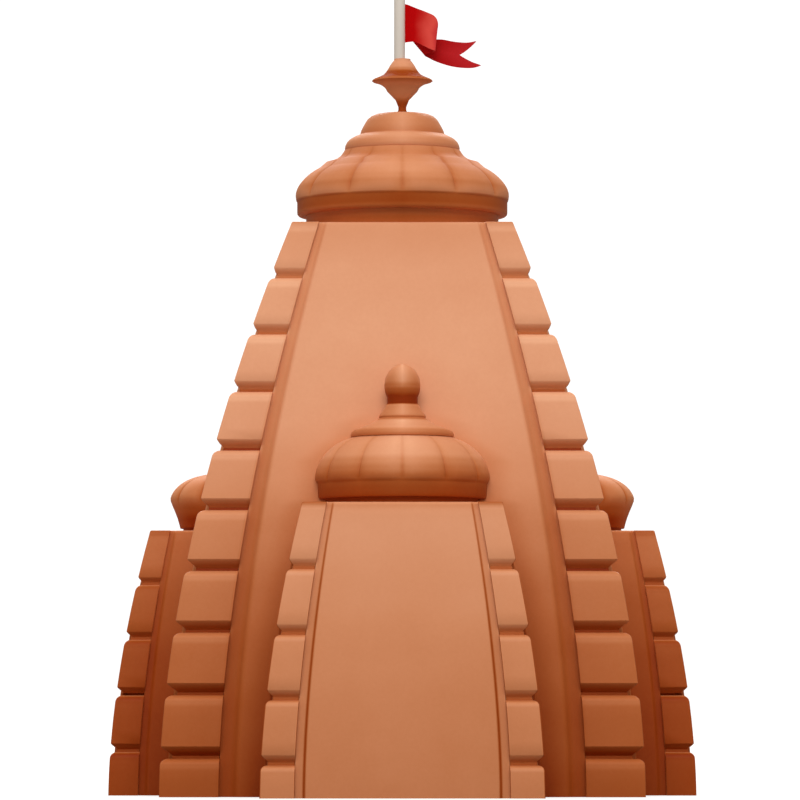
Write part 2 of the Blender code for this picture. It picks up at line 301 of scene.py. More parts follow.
def round_top_edge(body, faces):
    """Draws the top levels of the faces, given as (axis, side), inward along a quarter circle."""
    for angle in (30, 60, 90):
        level = top_level(body, angle)
        inward = TOP_ROUND * (1 - math.cos(math.radians(angle)))
        for axis, side in faces:
            pick("verts", lambda v: abs(v.co.z - level) < 0.0005
                 and v.co[axis] * side > 0.9 * body.half(level))
            bpy.ops.transform.translate(value=along(axis, -side * inward))


def tower_wall():
    """One wall of the tower: a raised panel between two sunk strips, with the rebate for the
    shoulder slab."""
    half = TOWER.foot_half
    edge = COLUMN_IN * half - GAP
    wall = start_block("wall", (-edge, -(1 - STRIP_BACK) * half, 0),
                       (edge, -COLUMN_IN * half, TOWER.height))
    shape(wall)
    for side in (-1, 1):
        slice_at((side * STRIP_IN * half, 0, 0), (1, 0, 0))
    raise_panel(TOWER, 1, -1, 0.0)
    soften_panel_edges(TOWER)
    slice_wall(TOWER, WALL_STEPS)
    draw_in(TOWER)
    round_top_edge(TOWER, [(1, -1)])
    done()
    cut_rebate(wall)
    return wall


def cut_rebate(piece):
    """Cuts the seat of the shoulder slab out of the top of a wall or column."""
    reach = SLAB_HALF + GAP
    seat = start_block("seat", (-reach, -reach, TOWER.height - SLAB_THICK - GAP),
                       (reach, reach, TOWER.height + SLAB_THICK))
    take(piece)
    rebate = piece.modifiers.new("rebate", "BOOLEAN")
    rebate.operation, rebate.solver, rebate.object = "DIFFERENCE", "EXACT", seat
    bpy.ops.object.modifier_apply(modifier=rebate.name)
    drop(seat)


def spire_body(kind, body, out):
    """The body of a small spire: a face and two flanks, each with a raised panel, ending in the
    tower's wall."""
    half = body.foot_half
    edge, strip_line = COLUMN_IN * half - GAP, STRIP_IN * half
    piece = start_block(f"{kind}_body", (-edge, -edge, 0), (edge, BODY_BACK, body.height))
    shape(piece)
    faces = ((1, -1), (0, -1), (0, 1))
    for axis, side in faces:
        pick("faces", lambda f: lies_at(f, axis, side, edge)
             and f.calc_center_median().y > -edge - NEAR)
        extrude(along(axis, side * ((1 - STRIP_BACK) * half - edge)))
    for axis, side in ((0, 1), (0, -1), (1, -1)):
        slice_at(along(axis, side * strip_line), along(axis, 1))
    for axis, side in faces:
        raise_panel(body, axis, side, 0.0 if axis == 1 else BODY_BACK)
    soften_panel_edges(body)
    slice_wall(body, SPIRE_STEPS)
    draw_in(body)
    round_top_edge(body, faces)
    foot, top = (out - WALL_MIDDLE * TOWER.half(z) for z in (0.0, body.height))
    facing = Vector((0, body.height, foot - top)).normalized()
    slice_at((0, foot, 0), facing, clear_outer=True, use_fill=True)
    done()
    return piece


# Stacked corner columns

def course_block(body, top_round, top_inset, foot_rise, foot_inset):
    """One block of the column at +X, -Y, as wide as at the ground and one full course high. Its two
    outer sides are rounded at the top and undercut at the foot."""
    half = body.foot_half
    near, far = COLUMN_IN * half + GAP, half
    course = body.lines[2] - body.lines[1]
    low, high = JOINT / 2, course - JOINT / 2
    block = start_block("block", (near, -far, low + foot_rise), (far, -near, high - top_round))
    shape(block)

    def upright(edge, outer):
        low_end, high_end = (v.co for v in edge.verts)
        at_corner = low_end.x > far - NEAR and low_end.y < NEAR - far
        return (abs(low_end.z - high_end.z) > 0.1 and at_corner == outer
                and min(abs(abs(low_end[axis]) - (near + far) / 2) for axis in (0, 1))
                > (far - near) / 2 - NEAR)
    for outer, offset in ((True, EDGE_ROUND), (False, INNER_ROUND)):
        pick("edges", lambda edge: upright(edge, outer))
        bpy.ops.mesh.bevel(offset=offset, segments=3, profile=0.5)
    width = far - near
    angles = [math.pi / 2 * step / 5 for step in range(1, 6)]
    quarter = [(math.sin(angle), 1 - math.cos(angle)) for angle in angles]
    undercut = [(t, (t + 0.5 - 0.5 * math.cos(math.pi * t)) / 2)
                for t in (0.12, 0.3, 0.5, 0.7, 0.85, 1.0)]
    for up, edge, rise, inset, curve in ((1, high - top_round, top_round, top_inset, quarter),
                                         (-1, low + foot_rise, foot_rise, foot_inset, undercut)):
        pick("faces", lambda f: f.normal.z * up > 0.9)
        risen, size = 0.0, width
        for share, drawn in curve:
            extrude((0, 0, up * (share - risen) * rise))
            ratio = (width - inset * drawn) / size
            bpy.ops.transform.resize(value=(ratio, ratio, 1),
                                     center_override=(near, -near, edge + up * share * rise))
            risen, size = share, size * ratio
    slice_across([low + (high - low) * share for share in (0.35, 0.6)])
    done()
    return block


def stacked_column(name, body, block_sizes, block_look, joint_look):
    """A corner column at +X, -Y: its blocks, one to a course, and the pier behind their joints."""
    block = course_block(body, **block_sizes)
    last = course_block(body, **{**block_sizes, "top_round": LAST_ROUND, "top_inset": LAST_ROUND})
    course = body.lines[2] - body.lines[1]
    blocks = []
    for number, (low, high) in enumerate(zip(body.lines, body.lines[1:])):
        copy = copy_of(last if high == body.height else block, f"{name}_{number}")
        shape(copy)
        scale = 1.0 if number == 0 else (high - low) / course
        foot = high - course if number == 0 else low
        bpy.ops.mesh.select_all(action="SELECT")
        bpy.ops.transform.resize(value=(1, 1, scale), center_override=(0, 0, 0))
        bpy.ops.transform.translate(value=(0, 0, foot))
        if number == 0:
            slice_at((0, 0, 0), (0, 0, 1), clear_inner=True, use_fill=True)
        if high == body.height:
            pick("verts", lambda v: v.co.z > high - JOINT / 2 - LAST_ROUND * scale - NEAR)
            bpy.ops.transform.translate(value=(0, 0, JOINT / 2 * scale))
        draw_in(body)
        done()
        if high == TOWER.height:
            cut_rebate(copy)
        copy.data.materials.append(block_look)
        blocks.append(copy)
    near = COLUMN_IN * body.foot_half + PIER_CLEAR
    far = body.foot_half - block_sizes["foot_inset"] + PIER_PROUD
    pier = start_block(f"{name}_pier", (near, -far, 0), (far, -near, body.height - PIER_BELOW))
    shape(pier)
    slice_across(levels_of(body, PIER_STEPS))
    draw_in(body)
    done()
    pier.data.materials.append(joint_look)
    column = blocks[0]
    take(column)
    for part in [*blocks, pier]:
        part.select_set(True)
    bpy.ops.object.join()
    drop(block)
    drop(last)
    column.name = column.data.name = name
    return column


# Turned pieces

def arc(centre, reach, angles, count):
    """Points of a profile on part of an ellipse, from one angle in degrees to another."""
    points = []
    for number in range(count):
        angle = math.radians(angles[0] + (angles[1] - angles[0]) * number / (count - 1))
        points.append((centre[0] + reach[0] * math.cos(angle),
                       centre[1] + reach[1] * math.sin(angle)))
    return points


def turned(name, profile, foot, steps):
    """A turned piece about the axis: a circle drawn up and in or out along the profile, closed at
    its ends."""
    bpy.ops.object.select_all(action="DESELECT")
    radius, rise = profile[0]
    bpy.ops.mesh.primitive_circle_add(vertices=steps, radius=radius, location=(0, 0, foot + rise))
    piece = settle(name)
    shape(piece)
    bpy.ops.mesh.select_all(action="SELECT")
    for (radius, rise), (next_radius, next_rise) in zip(profile, profile[1:]):
        extrude((0, 0, next_rise - rise))
        ratio = next_radius / radius
        bpy.ops.transform.resize(value=(ratio, ratio, 1), center_override=(0, 0, foot + next_rise))
    bpy.ops.mesh.edge_face_add()
    pick("edges", lambda e: len(e.link_faces) == 1)
    bpy.ops.mesh.edge_face_add()
    done()
    return piece


def fade_at(fades, rise):
    """Straight-line value between the (rise, value) pairs of fades, and 0 below them."""
    if rise < fades[0][0] - 0.0001:
        return 0.0
    for (low, first), (high, second) in zip(fades, fades[1:]):
        if rise <= high:
            return first + (second - first) * max(rise - low, 0.0) / (high - low)
    return 0.0


def swell_ribs(piece, steps, foot, fades, depth):
    """Swells a turned piece between its grooves. fades gives the share of the depth at heights
    above foot."""
    shape(piece)
    per_rib = steps // RIBS
    for level in levels_now():
        share = fade_at(fades, level - foot)
        if share <= 0:
            continue
        for place in range(1, per_rib // 2 + 1):
            swell = depth * share * math.sin(math.pi * place / per_rib) ** RIB_FULLNESS

            def on_meridian(v):
                if abs(v.co.z - level) > NEAR_LEVEL:
                    return False
                turn = round(math.atan2(v.co.x, -v.co.y) / (2 * math.pi) * steps) % per_rib
                return turn in (place, per_rib - place)
            pick("verts", on_meridian)
            bpy.ops.transform.resize(value=(1 + swell, 1 + swell, 1), center_override=(0, 0, 0))
    done()


def cut_back(piece):
    """Cuts away what would run into the tower behind a small spire's axis."""
    shape(piece)
    slice_at((0, CROWN_BACK, 0), (0, 1, 0), clear_outer=True, use_fill=True)
    done()


def raise_top(foot, pieces, place):
    """Turns the pieces of a top, each to stand on the one before, and hands each to place. Gives
    the level where the last one ends."""
    for part, node, profile, steps, look, ribs in pieces:
        foot += GAP
        piece = turned(part, profile, foot, steps)
        if ribs:
            swell_ribs(piece, steps, foot, *ribs)
        place(piece, part, node, look)
        foot += profile[-1][1]
    return foot


# Stone, paint and cloth

def add(tree, kind, inputs=None, **settings):
    """A node with its settings. inputs holds values, or sockets to link from, by name or number."""
    made = tree.nodes.new(kind)
    for key, value in settings.items():
        setattr(made, key, value)
    for key, value in (inputs or {}).items():
        socket = made.inputs[key]
        if isinstance(value, bpy.types.NodeSocket):
            tree.links.new(value, socket)
        else:
            socket.default_value = value
    return made


def sums(tree, operation, *values, clamp=False):
    """One step of arithmetic on values or sockets."""
    made = add(tree, "ShaderNodeMath", dict(enumerate(values)), operation=operation,
               use_clamp=clamp)
    return made.outputs[0]


def new_group(name, inputs, outputs):
    """An empty group with its named inputs and outputs."""
    group = bpy.data.node_groups.new(name, "ShaderNodeTree")
    for label, kind, value in inputs:
        socket = group.interface.new_socket(label, in_out="INPUT", socket_type=kind)
        socket.default_value = value
    for label, kind in outputs:
        group.interface.new_socket(label, in_out="OUTPUT", socket_type=kind)
    return group, group.nodes.new("NodeGroupInput"), group.nodes.new("NodeGroupOutput")


FLOAT, COLOUR = "NodeSocketFloat", "NodeSocketColor"


def hex_colour(text):
    """The linear colour of six hexadecimal digits."""
    values = [int(text[i:i + 2], 16) / 255 for i in (0, 2, 4)]
    return (*[v / 12.92 if v <= 0.04045 else ((v + 0.055) / 1.055) ** 2.4 for v in values], 1.0)


def ramp(tree, value, stops, interpolation="LINEAR"):
    """Values or colours at places from 0 to 1, and what lies between them."""
    made = add(tree, "ShaderNodeValToRGB", {0: value})
    made.color_ramp.interpolation = interpolation
    elements = made.color_ramp.elements
    while len(elements) < len(stops):
        elements.new(0.5)
    for element, (place, colour) in zip(elements, stops):
        element.position = place
        element.color = colour if isinstance(colour, tuple) else (colour, colour, colour, 1.0)
    return made.outputs["Color"]


def group_node(tree, group, inputs=None):
    """A group placed in a tree with its own values."""
    return add(tree, "ShaderNodeGroup", inputs, node_tree=group)


def place_of(tree):
    """X, Y and Z of the point that is shaded."""
    place = add(tree, "ShaderNodeTexCoord").outputs["Object"]
    return add(tree, "ShaderNodeSeparateXYZ", {0: place}).outputs


def from_axis(group, place, inputs):
    """How far a point lies along X and Y from the axis at Out X, Out Y, on either side."""
    return [sums(group, "SUBTRACT", sums(group, "ABSOLUTE", place[axis]),
                 inputs.outputs[f"Out {axis}"]) for axis in "XY"]


def ease(tree, value, low, high, start=0.0, end=1.0):
    """Goes softly from start to end while value goes from low to high."""
    made = add(tree, "ShaderNodeMapRange", {"Value": value, "From Min": low, "From Max": high,
                                            "To Min": start, "To Max": end},
               interpolation_type="SMOOTHSTEP")
    return made.outputs["Result"]


def stone_grain_group():
    """Cloudy tone and fine grain of dressed sandstone, and the relief of its grain and pits. Size
    is how large all of them are."""
    group, inputs, outputs = new_group("stone_grain", [("Size", FLOAT, 1.0)],
                                       [("Cloud", FLOAT), ("Grain", FLOAT), ("Relief", FLOAT)])
    place = add(group, "ShaderNodeTexCoord").outputs["Object"]
    broad, fine, pitted = (sums(group, "DIVIDE", scale, inputs.outputs["Size"])
                           for scale in (0.9, 14.0, 9.0))
    cloud = add(group, "ShaderNodeTexNoise", {"Vector": place, "Scale": broad, "Detail": 4.0,
                                              "Roughness": 0.55})
    grain = add(group, "ShaderNodeTexNoise", {"Vector": place, "Scale": fine, "Detail": 6.0,
                                              "Roughness": 0.7})
    pits = add(group, "ShaderNodeTexVoronoi", {"Vector": place, "Scale": pitted, "Randomness": 1.0})
    pit = add(group, "ShaderNodeMapRange", {"Value": pits.outputs["Distance"], "From Min": 0.05,
                                            "From Max": 0.22})
    relief = sums(group, "ADD", sums(group, "MULTIPLY", grain.outputs["Fac"], 0.7),
                  sums(group, "MULTIPLY", pit.outputs["Result"], 0.3))
    group.links.new(cloud.outputs["Fac"], outputs.inputs["Cloud"])
    group.links.new(grain.outputs["Fac"], outputs.inputs["Grain"])
    group.links.new(relief, outputs.inputs["Relief"])
    return group


def stone_tone_group():
    """Stone colour for a painted shade from 0, lightest, to 1, darkest and deepest in colour."""
    group, inputs, outputs = new_group("stone_tone", [("Shade", FLOAT, 0.2)], [("Color", COLOUR)])
    tone = ramp(group, inputs.outputs["Shade"], [
        (0.0, (0.90, 0.46, 0.27, 1.0)), (0.15, (0.78, 0.35, 0.19, 1.0)),
        (0.30, (0.70, 0.280, 0.132, 1.0)), (0.45, (0.60, 0.208, 0.081, 1.0)),
        (0.60, (0.51, 0.143, 0.042, 1.0)), (0.75, (0.42, 0.096, 0.019, 1.0)),
        (0.90, (0.35, 0.058, 0.006, 1.0)), (1.0, (0.28, 0.033, 0.002, 1.0))])
    group.links.new(tone, outputs.inputs["Color"])
    return group


def face_share_group():
    """How far a point of a square body lies from the middle of its face, as a share of the half
    width."""
    group, inputs, outputs = new_group(
        "face_share", [("Half", FLOAT, 4.65), ("Drop", FLOAT, 2.48), ("Height", FLOAT, 11.26),
                       ("Out X", FLOAT, 0.0), ("Out Y", FLOAT, 0.0)], [("Share", FLOAT)])
    place = place_of(group)
    height = sums(group, "DIVIDE", place["Z"], inputs.outputs["Height"], clamp=True)
    drop = sums(group, "MULTIPLY", sums(group, "POWER", height, CURVE_POWER),
                inputs.outputs["Drop"])
    half = sums(group, "SUBTRACT", inputs.outputs["Half"], drop)
    ways = [sums(group, "ABSOLUTE", way) for way in from_axis(group, place, inputs)]
    share = sums(group, "DIVIDE", sums(group, "MINIMUM", *ways), half)
    group.links.new(share, outputs.inputs["Share"])
    return group


def rib_shading_group():
    """Painted shade in the grooves between the ribs of a crown whose axis is at Out X, Out Y.
    Diagonal is 0 on the sides that face along X or Y and 1 halfway between them, and places
    the painted shade of the crown's diagonal sides."""
    group, inputs, outputs = new_group(
        "rib_groove_shade", [("Out X", FLOAT, 0.0), ("Out Y", FLOAT, 0.0), ("Width", FLOAT, 0.25)],
        [("Groove Shade", FLOAT), ("Diagonal", FLOAT)])
    ways = from_axis(group, place_of(group), inputs)
    turn = sums(group, "MULTIPLY", sums(group, "ARCTAN2", *ways), RIBS / (2 * math.pi))
    across = sums(group, "ABSOLUTE", sums(group, "SUBTRACT", turn, sums(group, "ROUND", turn)))
    layers = [ease(group, across, 0.0, reach, 0.5, 0.0)
              for reach in (inputs.outputs["Width"], 0.08)]
    group.links.new(sums(group, "ADD", *layers), outputs.inputs["Groove Shade"])
    quarter_turn = sums(group, "MULTIPLY", turn, 4 * math.pi / RIBS)
    diagonal = sums(group, "ABSOLUTE", sums(group, "SINE", quarter_turn))
    group.links.new(diagonal, outputs.inputs["Diagonal"])
    return group


def course_place_group():
    """Where a point lies in its course, from 0 at the foot of the course to 1 at its top."""
    group, inputs, outputs = new_group(
        "course_place", [("First", FLOAT, 0.76), ("Course", FLOAT, 1.2), ("Loss", FLOAT, 0.01)],
        [("Place", FLOAT)])
    rise = sums(group, "SUBTRACT", place_of(group)["Z"], inputs.outputs["First"])
    loss = inputs.outputs["Loss"]
    middle = sums(group, "MULTIPLY_ADD", loss, 0.5, inputs.outputs["Course"])
    under = sums(group, "SUBTRACT", sums(group, "MULTIPLY", middle, middle),
                 sums(group, "MULTIPLY", sums(group, "MULTIPLY", rise, loss), 2.0))
    number = sums(group, "DIVIDE", sums(group, "SUBTRACT", middle, sums(group, "SQRT", under)),
                  loss)
    group.links.new(sums(group, "FRACT", number), outputs.inputs["Place"])
    return group


def nearness_group():
    """How near a point of the front or back wall lies to the outline of the small spire before
    it, to place the painted shade round the spire."""
    group, inputs, outputs = new_group("nearness", [("Reach", FLOAT, 0.55)], [("Near", FLOAT)])
    place = place_of(group)
    ways = [sums(group, "ABSOLUTE", place[axis]) for axis in "XY"]
    height = sums(group, "DIVIDE", place["Z"], TOWER.height, clamp=True)
    outline = sums(group, "MULTIPLY", ramp(group, height, SPIRE_OUTLINE), OUTLINE_UNIT)
    away = sums(group, "SUBTRACT", sums(group, "MINIMUM", *ways), outline)
    near = ease(group, away, 0.0, inputs.outputs["Reach"], 1.0, 0.0)
    beneath = ramp(group, height, [(0.0, 1.0), (0.60, 1.0), (0.66, 0.35), (0.70, 0.0)])
    ahead = sums(group, "GREATER_THAN", ways[1], ways[0])
    near = sums(group, "MULTIPLY", sums(group, "MULTIPLY", near, beneath), ahead)
    group.links.new(near, outputs.inputs["Near"])
    return group


# Half the width of a small spire at shares of the tower's height, in lengths of OUTLINE_UNIT
OUTLINE_UNIT = 3.0
SPIRE_OUTLINE = [(0.0, 0.897), (0.15, 0.87), (0.30, 0.79), (0.45, 0.675), (0.499, 0.636),
                 (0.51, 0.55), (0.575, 0.55), (0.60, 0.42), (0.615, 0.34), (0.64, 0.30),
                 (0.66, 0.12), (0.74, 0.12), (0.745, 0.0)]


GRAIN, TONE, SHARE = stone_grain_group(), stone_tone_group(), face_share_group()
RIB_SHADE, COURSE_PLACE, NEARNESS = rib_shading_group(), course_place_group(), nearness_group()


def new_look(name):
    """A material with its nodes and its surface."""
    look = bpy.data.materials.new(name)
    look.use_nodes = True
    return look, look.node_tree, look.node_tree.nodes["Principled BSDF"]


def stone(name, by_height, foot, top, strips=None, side=None, roughness=0.55, bump=0.25, gloss=0.10,
          top_light=0.10, under_shade=0.10, ribs=None, courses=None, halo=0.0):
    """Dressed sandstone, with light and shade painted into its colour. by_height gives the painted
    shade at shares of the height from foot to top, and side gives another one for faces square to
    an axis, as (axis, shades). Faces that look up are painted lighter and faces that look down
    are painted darker, as light falls from above.
    strips paints shade into the sunk strips of a body, as (body, out x, out y, strength by height).
    ribs paints shade into the grooves of a crown, as (out x, out y, strength, fade by height,
    change by height on the diagonals), the change being painted shade, or painted light where it is
    below
    0. courses paints shade at the joints and a highlight on each block of a column, as (body,
       change
    by place in its course). halo paints shade on the walls round the outline of the small spires."""
    look, tree, shader = new_look(name)
    grain = group_node(tree, GRAIN)
    place = place_of(tree)
    height = sums(tree, "DIVIDE", sums(tree, "SUBTRACT", place["Z"], foot), top - foot, clamp=True)
    normal = add(tree, "ShaderNodeNewGeometry").outputs["Normal"]
    facing = add(tree, "ShaderNodeSeparateXYZ", {0: normal}).outputs
    # The painted shade by height, standing in for light from above and for shade low down, under
    # rims and in recesses
    shade = ramp(tree, height, by_height, "EASE")
    # Painted shade for faces square to an axis, such as the darker flanks of the small spires
    if side:
        axis, by_side = side
        mask = ease(tree, sums(tree, "ABSOLUTE", facing[axis]), 0.25, 0.75)
        other = ramp(tree, height, by_side, "EASE")
        mixed = add(tree, "ShaderNodeMix", {"Factor": mask, "A": shade, "B": other},
                    data_type="FLOAT")
        shade = mixed.outputs["Result"]
    # Painted shade in the sunk strips beside the panels
    if strips:
        body, out_x, out_y, strength = strips
        share = group_node(tree, SHARE, {
            "Half": body.foot_half, "Drop": body.drop, "Height": body.height, "Out X": out_x,
            "Out Y": out_y}).outputs["Share"]
        sunk = ramp(tree, share, [(PANEL_IN - 0.015, 0.0), (STRIP_IN + 0.005, 0.9), (0.735, 1.0),
                                  (COLUMN_IN, 0.4), (0.775, 0.0)], "EASE")
        shade = sums(tree, "ADD", sums(tree, "MULTIPLY", sunk, ramp(tree, height, strength)), shade)
    # Painted shade in the grooves between ribs and on the diagonal sides of a crown
    if ribs:
        out_x, out_y, strength, fade, diagonal = ribs
        rib_shading = group_node(tree, RIB_SHADE, {"Out X": out_x, "Out Y": out_y}).outputs
        groove_shade = sums(tree, "MULTIPLY", rib_shading["Groove Shade"], ramp(tree, height, fade))
        shade = sums(tree, "MULTIPLY_ADD", groove_shade, strength, shade)
        change = ramp(tree, height, [(at, 0.5 + value) for at, value in diagonal])
        on_diagonal = sums(tree, "MULTIPLY", rib_shading["Diagonal"], sums(tree, "SUBTRACT", change, 0.5))
        shade = sums(tree, "ADD", shade, on_diagonal)
    # Painted shade at each block's foot and top edge by the joints, and a painted highlight below
    # its top
    if courses:
        body, changes = courses
        in_course = group_node(tree, COURSE_PLACE, {
            "First": body.first, "Course": body.course, "Loss": body.loss}).outputs["Place"]
        change = ramp(tree, in_course, [(at, 0.5 + value) for at, value in changes], "EASE")
        shade = sums(tree, "SUBTRACT", sums(tree, "ADD", shade, change), 0.5)
    # Painted shade on the walls round the outline of the small spires
    if halo:
        shade = sums(tree, "MULTIPLY_ADD", group_node(tree, NEARNESS).outputs["Near"], halo, shade)
    # Painted light and shade: faces that look up are painted lighter, faces that look down painted
    # darker
    up = sums(tree, "MAXIMUM", facing["Z"], 0.0)
    down = sums(tree, "MAXIMUM", sums(tree, "MULTIPLY", facing["Z"], -1.6), 0.0, clamp=True)
    shade = sums(tree, "MULTIPLY_ADD", up, -top_light, shade)
    shade = sums(tree, "MULTIPLY_ADD", down, under_shade, shade)
    cloud, fine = (sums(tree, "MULTIPLY", sums(tree, "SUBTRACT", grain.outputs[kind], 0.5),
                        strength) for kind, strength in (("Cloud", 0.10), ("Grain", 0.07)))
    shade = sums(tree, "ADD", sums(tree, "ADD", shade, cloud), fine, clamp=True)
    tone = group_node(tree, TONE, {"Shade": shade})
    tree.links.new(tone.outputs["Color"], shader.inputs["Base Color"])
    rough = sums(tree, "MULTIPLY_ADD", grain.outputs["Grain"], 0.12, roughness - 0.06)
    tree.links.new(rough, shader.inputs["Roughness"])
    relief = add(tree, "ShaderNodeBump", {"Height": grain.outputs["Relief"], "Strength": bump,
                                          "Distance": 0.01})
    tree.links.new(relief.outputs["Normal"], shader.inputs["Normal"])
    shader.inputs["Specular IOR Level"].default_value = gloss
    return look


def paint(name, colour, roughness):
    """Plain paint of one colour."""
    look, tree, shader = new_look(name)
    shader.inputs["Base Color"].default_value = hex_colour(colour)
    shader.inputs["Roughness"].default_value = roughness
    return look


# Painted shade of the stone at shares of a piece's height, from 0, lightest, to 1, darkest:
# it darkens the stone low down, under rims and in recesses, and lightens it where light falls
# from above, as painted highlights on the crowns and balls
MAIN_SHADE = [(0.0, 0.76), (0.13, 0.68), (0.24, 0.60), (0.34, 0.52), (0.45, 0.41), (0.56, 0.27),
              (0.66, 0.17), (0.80, 0.13), (0.90, 0.16), (1.0, 0.25)]
WALL_SHADE = [(0.0, 0.84), (0.13, 0.76), (0.24, 0.67), (0.34, 0.57), (0.45, 0.43), (0.56, 0.27),
              (0.66, 0.17), (0.80, 0.145), (0.90, 0.17), (1.0, 0.27)]
# Painted shade in the sunk strips at shares of the height
WALL_STRIP_SHADE = [(0.0, 0.05), (0.13, 0.09), (0.233, 0.10), (0.335, 0.14), (0.50, 0.22), (0.646, 0.27),
               (0.857, 0.18), (1.0, 0.12)]
SPIRE_STRIP_SHADE = [(0.0, 0.0), (0.35, 0.03), (0.60, 0.09), (1.0, 0.10)]
FRONT_SHADE = [(0.0, 0.40), (0.26, 0.39), (0.48, 0.36), (0.69, 0.28), (0.93, 0.22), (0.965, 0.24),
               (0.99, 0.36), (1.0, 0.36)]
# Painted shade of the small spires' flanks, darker than their fronts
FLANK_SHADE = [(0.0, 0.90), (0.28, 0.88), (0.49, 0.83), (0.71, 0.72), (0.92, 0.56), (1.0, 0.55)]
FLANK_WALL_SHADE = [(0.0, 0.95), (0.28, 0.94), (0.49, 0.88), (0.71, 0.77), (0.92, 0.63),
                    (1.0, 0.62)]
# The pier behind the open joints is painted dark for the shade in them
JOINT_SHADE = [(0.0, 0.85), (0.2, 0.9), (0.4, 1.0), (0.6, 1.0), (0.78, 0.64), (1.0, 0.48)]
FRONT_JOINT_SHADE = [(0.0, 0.72), (1.0, 0.70)]
SIDE_JOINT_SHADE = [(0.0, 0.85), (1.0, 0.80)]
SLAB_SHADE = [(0.0, 0.3), (1.0, 0.3)]
CROWN_SHADE = [(0.0, 0.74), (0.08, 0.78), (0.13, 0.68), (0.18, 0.60), (0.21, 0.76), (0.27, 0.90),
               (0.36, 0.86), (0.40, 0.44), (0.44, 0.38), (0.516, 0.38), (0.59, 0.28), (0.665, 0.17),
               (0.75, 0.19), (0.83, 0.26), (0.93, 0.38), (1.0, 0.36)]
TOP_SHADE = [(0.0, 0.36), (0.05, 0.22), (0.18, 0.30), (0.30, 0.23), (0.38, 0.22), (0.42, 0.30),
             (0.46, 0.34), (0.70, 0.28), (0.85, 0.25), (1.0, 0.22)]
FINIAL_SHADE = [(0.0, 0.85), (0.16, 0.85), (0.31, 0.30), (0.51, 0.34), (0.60, 0.60), (0.66, 0.95),
                (0.74, 0.90), (0.80, 0.45), (0.86, 0.18), (1.0, 0.14)]
FRONT_CROWN_SHADE = [(0.0, 0.85), (0.05, 0.92), (0.20, 0.83), (0.32, 0.75), (0.37, 0.58),
                     (0.50, 0.38), (0.62, 0.24), (0.73, 0.07), (1.0, 0.03)]
FRONT_TOP_SHADE = [(0.0, 0.46), (0.08, 0.42), (0.13, 0.16), (0.22, 0.10), (0.26, 0.60),
                   (0.275, 0.50), (0.32, 0.27), (0.44, 0.27), (0.465, 1.0), (0.54, 1.0),
                   (0.64, 0.72), (0.70, 0.42), (0.77, 0.18), (1.0, 0.12)]
SIDE_CROWN_SHADE = [(0.0, 0.80), (0.2, 0.80), (0.38, 0.62), (0.55, 0.40), (1.0, 0.28)]
SIDE_CROWN_FLANK = [(0.0, 1.0), (0.2, 1.0), (0.38, 0.76), (0.55, 0.50), (1.0, 0.50)]

# What a block adds to the painted shade, from the foot of its course to its top: painted shade
# at its foot and its top edge, by the joints, and on the tower's and front spires' blocks a
# painted highlight just below the top
TOWER_COURSE = [(0.0, 0.36), (0.06, 0.20), (0.12, 0.05), (0.17, -0.01), (0.20, 0.0), (0.78, 0.0),
                (0.86, -0.10), (0.90, -0.08), (0.95, 0.0), (1.0, 0.15)]
FRONT_COURSE = [(0.0, 0.40), (0.05, 0.18), (0.10, 0.0), (0.86, 0.0), (0.90, -0.07), (0.93, -0.02),
                (0.97, 0.18), (1.0, 0.40)]
SIDE_COURSE = [(0.0, 0.05), (0.05, 0.0), (0.80, 0.0), (0.87, 0.03), (0.92, 0.12), (1.0, 0.16)]

# Painted shade in the grooves of a crown, and the painted shade that its diagonal sides add,
# lighter instead where a value is below 0
NO_CHANGE = [(0.0, 0.0), (1.0, 0.0)]
CROWN_GROOVE_SHADE = [(0.36, 0.0), (0.42, 1.0), (0.8, 1.0), (1.0, 0.3)]
FRONT_CROWN_GROOVE_SHADE = [(0.30, 0.0), (0.38, 1.0), (1.0, 1.0)]
SIDE_CROWN_GROOVE_SHADE = [(0.45, 0.0), (0.55, 1.0), (1.0, 1.0)]
CROWN_DIAGONAL = [(0.0, -0.10), (0.36, -0.13), (0.40, -0.12), (0.46, 0.0), (0.516, 0.10),
                  (0.60, 0.14), (0.665, 0.27), (0.75, 0.26), (0.83, 0.20), (1.0, 0.05)]
TOP_DIAGONAL = [(0.0, 0.0), (0.1, 0.12), (0.30, 0.15), (0.38, 0.15), (0.46, 0.22), (1.0, 0.22)]
FRONT_CROWN_DIAGONAL = [(0.30, 0.0), (0.45, 0.18), (0.73, 0.20), (1.0, 0.20)]
FRONT_TOP_DIAGONAL = [(0.0, 0.08), (0.12, 0.20), (0.22, 0.22), (0.27, 0.0), (0.32, 0.20),
                      (0.44, 0.20), (0.64, 0.0), (0.75, 0.30), (1.0, 0.2)]

# Levels where the crowns, the pieces on top of them and the tower's finial end
CROWN_END, TOP_END, FINIAL_END = (TOWER.height + rise for rise in (1.61, 2.38, 3.48))
FRONT_CROWN_END, FRONT_TOP_END = (FRONT.height + rise for rise in (1.31, 2.74))
SIDE_CROWN_END = SIDE.height + 1.16

wall_look = stone("wall_stone", WALL_SHADE, 0.0, TOWER.height,
                  strips=(TOWER, 0.0, 0.0, WALL_STRIP_SHADE), halo=0.13)
column_look = stone("column_stone", MAIN_SHADE, 0.0, TOWER.height,
                    strips=(TOWER, 0.0, 0.0, WALL_STRIP_SHADE), top_light=0.08, under_shade=0.05,
                    courses=(TOWER, TOWER_COURSE))
